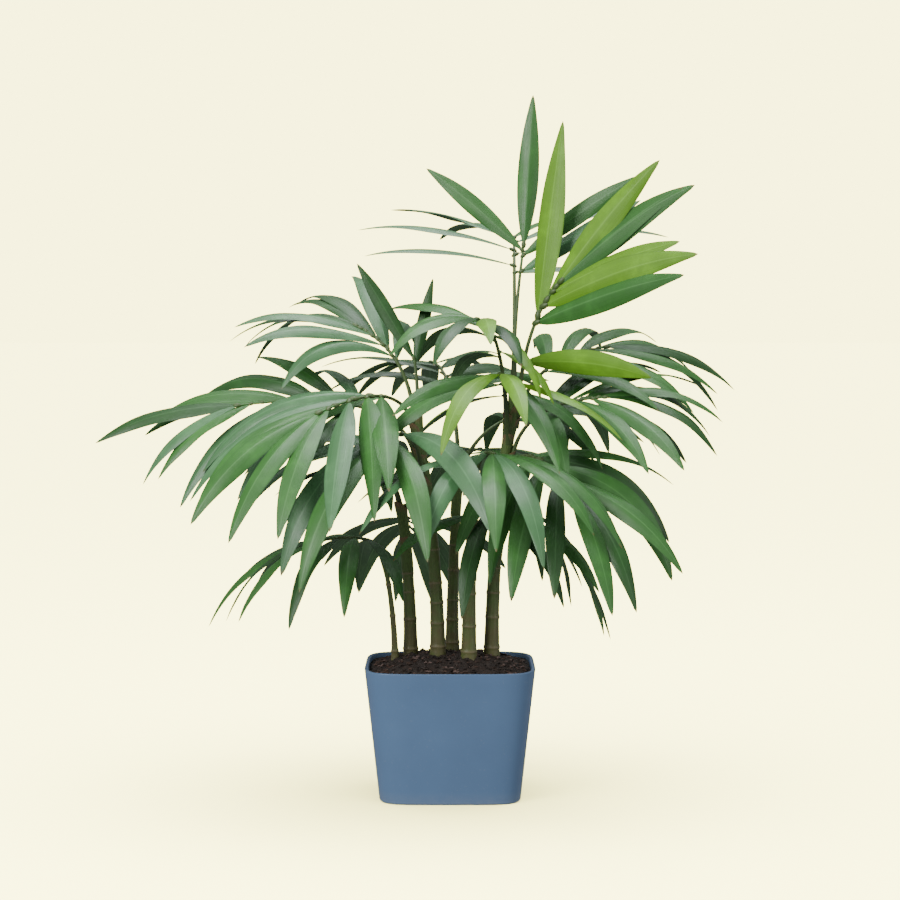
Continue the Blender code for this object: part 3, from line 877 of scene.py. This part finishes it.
def scatter(bm, rng, count, canes, make):
    """Places pieces over the soil, clear of the canes."""
    reach = outer_half_width(POT_HEIGHT - SOIL_BELOW_RIM) - POT_WALL
    placed = 0
    while placed < count:
        angle = rng.uniform(0, 2 * math.pi)
        x, y = square_plan(angle, reach * BIT_REACH * math.sqrt(rng.random()))
        clear = [math.hypot(x - c.foot.x, y - c.foot.y) - c.radius(0) for c in canes]
        if min(clear) < BIT_CLEARANCE:
            continue
        verts = make(bm, rng)
        turn = Matrix.Rotation(rng.uniform(0, 2 * math.pi), 4, "Z")
        lean = Matrix.Rotation(rng.uniform(-0.6, 0.6), 4, "X")
        where = Matrix.Translation((x, y, soil_height(x, y) + rng.uniform(0.2, 1.0) * MM))
        bmesh.ops.transform(bm, matrix=where @ turn @ lean, verts=verts)
        placed += 1


def bark_chip(bm, rng):
    """A flat splinter of bark with worn edges."""
    verts = bmesh.ops.create_cube(bm, size=1)["verts"]
    edges = list(dict.fromkeys(edge for v in verts for edge in v.link_edges))
    base_highlighted = bmesh.ops.bevel(
        bm, geom=edges, affect="EDGES", offset=0.16, segments=1, profile=0.5, material=-1)
    verts = by_place({v for face in base_highlighted["faces"] for v in face.verts})
    jitter(verts, rng, 0.22)
    size = (rng.uniform(2.5, 7) * MM, rng.uniform(1.4, 3) * MM, rng.uniform(0.7, 1.6) * MM)
    bmesh.ops.scale(bm, verts=verts, vec=size)
    paint(faces_of(verts), rng.choice((0, 0, 1, 1, 2)))
    return verts


def soil_grain(bm, rng):
    """A small rounded grain of soil or bark."""
    verts = bmesh.ops.create_icosphere(bm, subdivisions=1, radius=1)["verts"]
    jitter(verts, rng, 0.25)
    size = rng.uniform(0.5, 1.6) * MM
    bmesh.ops.scale(bm, verts=verts, vec=(size * rng.uniform(1, 1.7), size, size * 0.8))
    paint(faces_of(verts), rng.choice((0, 0, 0, 1, 2)))
    return verts


class PALM_OT_soil(Operator):
    """Make the mound of potting soil with its bark chips"""

    bl_idname = "palm.make_soil"
    bl_label = "Make Soil"

    def execute(self, context):
        sizes = context.scene.palm_soil
        edge_height = POT_HEIGHT - SOIL_BELOW_RIM
        inset = POT_WALL + GAP

        def shape(u, v):
            reach = (outer_half_width(edge_height) - inset) * (1 - u)
            x, y = square_plan(2 * math.pi * v, reach)
            if u == 0:
                return Vector((x, y, edge_height))
            return Vector((x, y, soil_height(x, y) + crumbs(x, y, sizes.crumb)))

        bm = bmesh.new()
        shaped_grid(bm, SOIL_RINGS, SOIL_AROUND, shape)
        bmesh.ops.remove_doubles(bm, verts=bm.verts, dist=WELD)
        rim = [edge for edge in bm.edges if edge.is_boundary]
        skirt = bmesh.ops.extrude_edge_only(bm, edges=rim)["geom"]
        for v in [item for item in skirt if isinstance(item, bmesh.types.BMVert)]:
            angle = math.atan2(v.co.y, v.co.x)
            bottom = POT_FLOOR + GAP
            x, y = square_plan(angle, outer_half_width(bottom) - inset - 3 * MM)
            v.co = (x, y, bottom)
        close_ends(bm)
        soil = soil_material("damp_soil", sizes.colour, sizes.shade)
        finish_piece("soil_mound", bm, [soil], ["soil"])

        rng = random.Random("soil bits")
        canes = [Cane(*cane) for cane in CANES.values()]
        bm = bmesh.new()
        scatter(bm, rng, sizes.chips, canes, bark_chip)
        scatter(bm, rng, sizes.grains, canes, soil_grain)
        finishes = [
            soil_material("dark_bark", sizes.colour, sizes.shade),
            soil_material("brown_bark", sizes.bark, [0.6 * c for c in sizes.bark]),
            soil_material("pale_bark", sizes.pale, [0.6 * c for c in sizes.pale])]
        finish_piece("soil_bits", bm, finishes, ["soil"], sharp=35)
        return {"FINISHED"}


# Canes, with the sheath of each leaf stalk

def side_frame(axis):
    """Two directions square to an axis."""
    first = axis.cross(Vector((0, 1, 0))).normalized()
    return first, axis.cross(first)


def node_places(name, cane, spacing):
    """Places of the leaf scars, in shares of the cane's height."""
    rng = random.Random(name + " scars")
    places, height = [], 0.4 * spacing
    while height < 0.95 * cane.length():
        places.append(height / cane.length())
        height += spacing * rng.uniform(0.6, 1.15) * (1 - 0.35 * height / cane.length())
    return places


def make_cane(name, cane, sizes):
    """The cane's skin, swollen at each leaf scar, with the scars marked for its material."""
    scars = node_places(name, cane, sizes.spacing)
    along = math.ceil(cane.length() / CANE_STEP)
    bm = bmesh.new()
    mark = bm.verts.layers.float.new("scar")

    def nearness(t, width):
        nearest = min(abs(t - scar) for scar in scars) * cane.length()
        return math.exp(-((nearest / width) ** 2))

    def shape(u, v):
        angle = 2 * math.pi * v
        first, second = side_frame(cane.axis(u))
        around = first * math.cos(angle) + second * math.sin(angle)
        bulge = sizes.swelling * nearness(u, SCAR_BULGE_WIDTH)
        place = (cane.at(u) + around * 0.01) * CANE_UNEVEN_SCALE
        uneven = CANE_UNEVENNESS * noise.noise(place)
        return cane.at(u) + around * (cane.radius(u) + bulge + uneven)

    for i, v in enumerate(shaped_grid(bm, along, CANE_AROUND, shape)):
        v[mark] = SCAR_STRENGTH * nearness(i % (along + 1) / along, SCAR_COLOUR_WIDTH)
    close_ends(bm)
    finish_piece(name + "_skin", bm, [bpy.data.materials["cane_skin"]], [name])


def sheath_shape(cane, frond, stalk, rng, length):
    """The surface of a sheath that wraps the cane and opens round its leaf stalk."""
    start = max(0.02, frond.foot - length / cane.length())
    end = frond.foot + 2.5 * MM / cane.length()
    leaf_side = math.atan2(-stalk.inward.y, -stalk.inward.x)
    tear = rng.uniform(0, 100)

    def shape(u, v):
        angle = 2 * math.pi * v
        around = Vector((math.cos(angle), math.sin(angle), 0))
        facing = max(0.0, math.cos(angle - leaf_side))
        rise = (end - start) * cane.length() * u
        torn = noise.noise(Vector((tear, 3 * v, 0))) * SHEATH_TEAR * u**3
        slant = (6 * MM * facing**2 - 4 * MM) * u**2
        t = min(1.0, start + (end - start) * u)
        base = cane.at(t)
        base.z = cane.at(start).z + rise + slant + torn
        cover = 2 * STALK_FOOT_RADIUS * facing**3 * u**1.5
        return base + around * (cane.radius(min(t, 0.9)) + (0.25 + 0.5 * u) * MM + cover)

    return shape


class PALM_OT_canes(Operator):
    """Make the canes and the leaf sheaths that wrap them"""

    bl_idname = "palm.make_canes"
    bl_label = "Make Canes"

    def execute(self, context):
        sizes = context.scene.palm_cane
        cane_material(sizes.young, sizes.old, sizes.scar)
        canes = {name: Cane(*cane) for name, cane in CANES.items()}
        for name, cane in canes.items():
            make_cane(name, cane, sizes)
        bm = bmesh.new()
        for name, frond in FRONDS.items():
            rng = random.Random(name + " sheath")
            cane = canes[frond.cane]
            stalk, _ = grown_stalk(name)
            length = sizes.sheath * rng.uniform(*SHEATH_LENGTHS)
            shape = sheath_shape(cane, frond, stalk, rng, length)
            sleeve = bmesh.new()
            shaped_grid(sleeve, SHEATH_ALONG, SHEATH_AROUND, shape)
            bmesh.ops.remove_doubles(sleeve, verts=sleeve.verts, dist=WELD)
            bmesh.ops.recalc_face_normals(sleeve, faces=sleeve.faces)
            bmesh.ops.solidify(sleeve, geom=sleeve.faces[:], thickness=SHEATH_THICKNESS)
            add_mesh(bm, sleeve)
        sheath = fibrous_material("leaf_sheath", sizes.young, sizes.dry, 0.5)
        finish_piece("leaf_sheaths", bm, [sheath], list(canes))
        return {"FINISHED"}


def add_mesh(bm, part):
    """Adds one bmesh to another."""
    mesh = bpy.data.meshes.new("part")
    part.to_mesh(mesh)
    part.free()
    bm.from_mesh(mesh)
    bpy.data.meshes.remove(mesh)


# Leaf stalks

def stalk_shape(stalk):
    """The surface of a stalk: flared at its foot and channelled on its upper side."""

    def shape(u, v):
        t = (1 + STALK_INTO_SHEATH) * u - STALK_INTO_SHEATH
        angle = 2 * math.pi * v
        tangent, side, face = stalk.frame(t)
        around = side * math.cos(angle) + face * math.sin(angle)
        channel = 1 - STALK_CHANNEL * max(0.0, math.sin(angle)) ** STALK_CHANNEL_POWER
        flare = 1 + STALK_FLARE * math.exp(-STALK_FLARE_FADE * max(t, 0))
        closing = math.sqrt(max(0.0, 1 - u**STALK_TIP_POWER))
        return stalk.at(t) + around * stalk.radius(t) * channel * flare * closing

    return shape


def make_knuckle(bm, leaf):
    """The small swelling where a leaflet leaves its stalk."""
    point, tangent, across = leaf.stations[0]
    face = across.cross(tangent)
    size = leaf.width * KNUCKLE_SHARE
    place = Matrix((tangent, across, face)).transposed().to_4x4()
    place.translation = point + tangent * 1.2 * MM
    verts = bmesh.ops.create_uvsphere(bm, u_segments=8, v_segments=5, radius=size)["verts"]
    bmesh.ops.scale(bm, verts=verts, vec=KNUCKLE_STRETCH)
    bmesh.ops.transform(bm, matrix=place, verts=verts)


class PALM_OT_stalks(Operator):
    """Make the leaf stalks with a knuckle under each leaflet"""

    bl_idname = "palm.make_stalks"
    bl_label = "Make Leaf Stalks"

    def execute(self, context):
        sizes = context.scene.palm_leaf
        bm = bmesh.new()
        for name, frond in FRONDS.items():
            stalk, solid = grown_stalk(name)
            shaped_grid(bm, STALK_ALONG, STALK_AROUND, stalk_shape(stalk))
            for leaf in grow_leaflets(name, frond, stalk, solid):
                make_knuckle(bm, leaf)
        close_ends(bm)
        skin = fibrous_material("leaf_stalk", sizes.stalk, sizes.fresh, 0.42)
        finish_piece("leaf_stalks", bm, [skin], list(FRONDS))
        return {"FINISHED"}


# Leaflets

def blade_shape(leaf, rng, sizes, side):
    """One side of a leaflet's blade: keeled along its midrib, pleated, waved at the margins."""
    rows = [leaf.at(i / BLADE_ALONG) for i in range(BLADE_ALONG + 1)]
    keel, twist = rng.uniform(*BLADE_KEEL), rng.uniform(*BLADE_TWIST)
    waves, phase = rng.uniform(*BLADE_WAVES), rng.uniform(*BLADE_WAVE_PHASE)

    def shape(u, v):
        point, tangent, across = rows[round(u * BLADE_ALONG)]
        across = Matrix.Rotation(twist * u, 3, tangent) @ across
        face = across.cross(tangent)
        out = 2 * v - 1
        edge = abs(out)
        half = leaf.half_width(u) * min(1.0, 0.45 + 9 * u)
        full = math.sin(math.pi * u)
        fall = -keel * half * edge**1.4 * (1 - 0.5 * u)
        pleat = sizes.pleat * math.cos(5 * math.pi * out) * (1 - edge**4) * full
        wave = sizes.ruffle * edge**3 * full * math.sin(waves * u + phase * (1 + 0.5 * out))
        body = side * sizes.thickness / 2 * (1 - edge**6) * min(1.0, 14 * u, 14 * (1 - u))
        rib = sizes.rib * max(0.0, 1 - 5 * edge) * (1 - u) * min(1.0, 14 * u)
        rib = -rib if side < 0 else 0.0
        return point + across * half * out + face * (fall + pleat + wave + body + rib)

    return shape


def make_leaflet(bm, leaf, seed, sizes, tone):
    """One leaflet: an upper and an under skin that meet at the margins."""
    verts = []
    for side, index in ((1, tone), (-1, len(TONES))):
        shape = blade_shape(leaf, random.Random(seed), sizes, side)
        skin = shaped_grid(bm, BLADE_ALONG, BLADE_ACROSS, shape)
        paint(faces_of(skin), index)
        verts += skin
    bmesh.ops.remove_doubles(bm, verts=verts, dist=WELD)


class PALM_OT_leaflets(Operator):
    """Make the leaflets of every frond"""

    bl_idname = "palm.make_leaflets"
    bl_label = "Make Leaflets"

    def execute(self, context):
        sizes = context.scene.palm_leaf
        finishes = [
            leaf_material("leaf_dark", sizes.dark, 0.5, 0.34),
            leaf_material("leaf_fresh", sizes.fresh, 0.5, 0.36),
            leaf_material("leaf_golden", sizes.golden, 0.4, 0.38),
            # The leaflets with painted sheen, a greyish reflection painted into their colour
            leaf_material("leaf_painted_sheen", sizes.painted_sheen, 0.4, 0.32),
            leaf_material("leaf_underside", sizes.under, 0.6, 0.55)]
        for name, frond in FRONDS.items():
            stalk, solid = grown_stalk(name)
            leaves = grow_leaflets(name, frond, stalk, solid)
            if not leaves:
                raise RuntimeError(f"no leaflet of {name} matches its solid")
            tones = FROND_TONES.get(name, USUAL_TONES)
            bm = bmesh.new()
            for i, leaf in enumerate(leaves):
                tone = TONES.index(random.Random(f"{name} tone {i}").choice(tones))
                make_leaflet(bm, leaf, f"{name} blade {i}", sizes, tone)
            finish_piece(name + "_leaflets", bm, finishes, [name])
        return {"FINISHED"}


# Floor, backdrop, lights and camera

def aimed(obj, place, target):
    obj.location = place
    obj.rotation_mode = "QUATERNION"
    obj.rotation_quaternion = (Vector(target) - Vector(place)).to_track_quat("-Z", "Y")
    bpy.context.scene.collection.objects.link(obj)
    return obj


def softbox(name, place, size, power, colour=(1, 1, 1)):
    """A square area light aimed at the crown."""
    lamp = bpy.data.lights.new(name, "AREA")
    lamp.size = size
    lamp.energy = power
    lamp.color = colour
    light = aimed(bpy.data.objects.new(name, lamp), place, (0, 0, 0.33))
    light.visible_camera = False
    return light


def make_floor(sizes):
    """A wide plain floor with a light of its own, so that only soft shadows mark it."""
    bm = bmesh.new()
    bmesh.ops.create_circle(bm, cap_ends=True, segments=64, radius=30)
    mesh = bpy.data.meshes.new("floor")
    bm.to_mesh(mesh)
    bm.free()
    paper, _, sockets, _, _ = new_material("floor_paper")
    sockets["Base Color"].default_value = rgba(sizes.backdrop)
    sockets["Roughness"].default_value = 0.9
    sockets["Specular IOR Level"].default_value = 0
    mesh.materials.append(paper)
    floor = bpy.data.objects.new("floor", mesh)
    floor.visible_diffuse = False
    floor.visible_glossy = False
    only_floor = bpy.data.collections.new("floor_only")
    bpy.context.scene.collection.children.link(only_floor)
    only_floor.objects.link(floor)
    lamp = bpy.data.lights.new("floor_light", "SUN")
    lamp.energy = sizes.glow * math.pi
    lamp.angle = math.radians(110)
    light = aimed(bpy.data.objects.new("floor_light", lamp), (0, 0, 3), (0, 0, 0))
    light.light_linking.receiver_collection = only_floor


def make_backdrop(sizes):
    """A plain backdrop for the camera, and a soft grey light for the plant."""
    world = bpy.data.worlds.new("studio")
    world.use_nodes = True
    nodes = Nodes(world.node_tree)
    shown = world.node_tree.nodes["Background"]
    shown.inputs["Color"].default_value = rgba(sizes.backdrop)
    shown.inputs["Strength"].default_value = sizes.glow
    lit = nodes.add("Background", {"Color": (0.93, 0.97, 1, 1), "Strength": 0.35})
    seen = nodes.add("LightPath").outputs["Is Camera Ray"]
    both = nodes.add("MixShader", {0: seen, 1: lit.outputs[0], 2: shown.outputs[0]})
    output = world.node_tree.nodes["World Output"]
    nodes.feed(output.inputs["Surface"], both.outputs[0])
    bpy.context.scene.world = world


class PALM_OT_stage(Operator):
    """Set up the floor, the backdrop, the lights and the camera"""

    bl_idname = "palm.make_stage"
    bl_label = "Set Up Stage"

    def execute(self, context):
        sizes = context.scene.palm_stage
        make_floor(sizes)
        make_backdrop(sizes)
        softbox("key_light", (-1.3, -1.7, 1.5), 1.1, 62)
        softbox("fill_light", (1.9, -1.5, 0.9), 1.6, 16)
        softbox("top_light", (0.1, 0.35, 2.2), 1.5, 48, (0.94, 0.97, 1))
        camera_data = bpy.data.cameras.new("camera")
        camera_data.lens = sizes.lens
        target = Vector((0, 0, sizes.target))
        back = Vector((0, -math.cos(sizes.rise), math.sin(sizes.rise)))
        camera = bpy.data.objects.new("camera", camera_data)
        context.scene.camera = aimed(camera, target + back * sizes.distance, target)
        return {"FINISHED"}


class VIEW3D_PT_palm(Panel):
    """Lists the steps that dress the palm"""

    bl_label = "Bamboo Palm"
    bl_idname = "VIEW3D_PT_palm"
    bl_space_type = "VIEW_3D"
    bl_region_type = "UI"
    bl_category = "Palm"

    def draw(self, context):
        for operator in OPERATORS:
            self.layout.operator(operator.bl_idname)


OPERATORS = (
    PALM_OT_planter, PALM_OT_soil, PALM_OT_canes, PALM_OT_stalks, PALM_OT_leaflets,
    PALM_OT_stage)
SETTINGS = {
    "palm_planter": PlanterSettings, "palm_soil": SoilSettings, "palm_cane": CaneSettings,
    "palm_leaf": LeafSettings, "palm_stage": StageSettings}


def register():
    for name, group in SETTINGS.items():
        bpy.utils.register_class(group)
        setattr(bpy.types.Scene, name, PointerProperty(type=group))
    for operator in OPERATORS:
        bpy.utils.register_class(operator)
    bpy.utils.register_class(VIEW3D_PT_palm)


def unregister():
    bpy.utils.unregister_class(VIEW3D_PT_palm)
    for operator in reversed(OPERATORS):
        bpy.utils.unregister_class(operator)
    for name, group in SETTINGS.items():
        delattr(bpy.types.Scene, name)
        bpy.utils.unregister_class(group)


def main():
    register()
    bpy.ops.palm.make_planter()
    bpy.ops.palm.make_soil()
    bpy.ops.palm.make_canes()
    bpy.ops.palm.make_stalks()
    bpy.ops.palm.make_leaflets()
    bpy.ops.palm.make_stage()


if __name__ == "__main__":
    main()
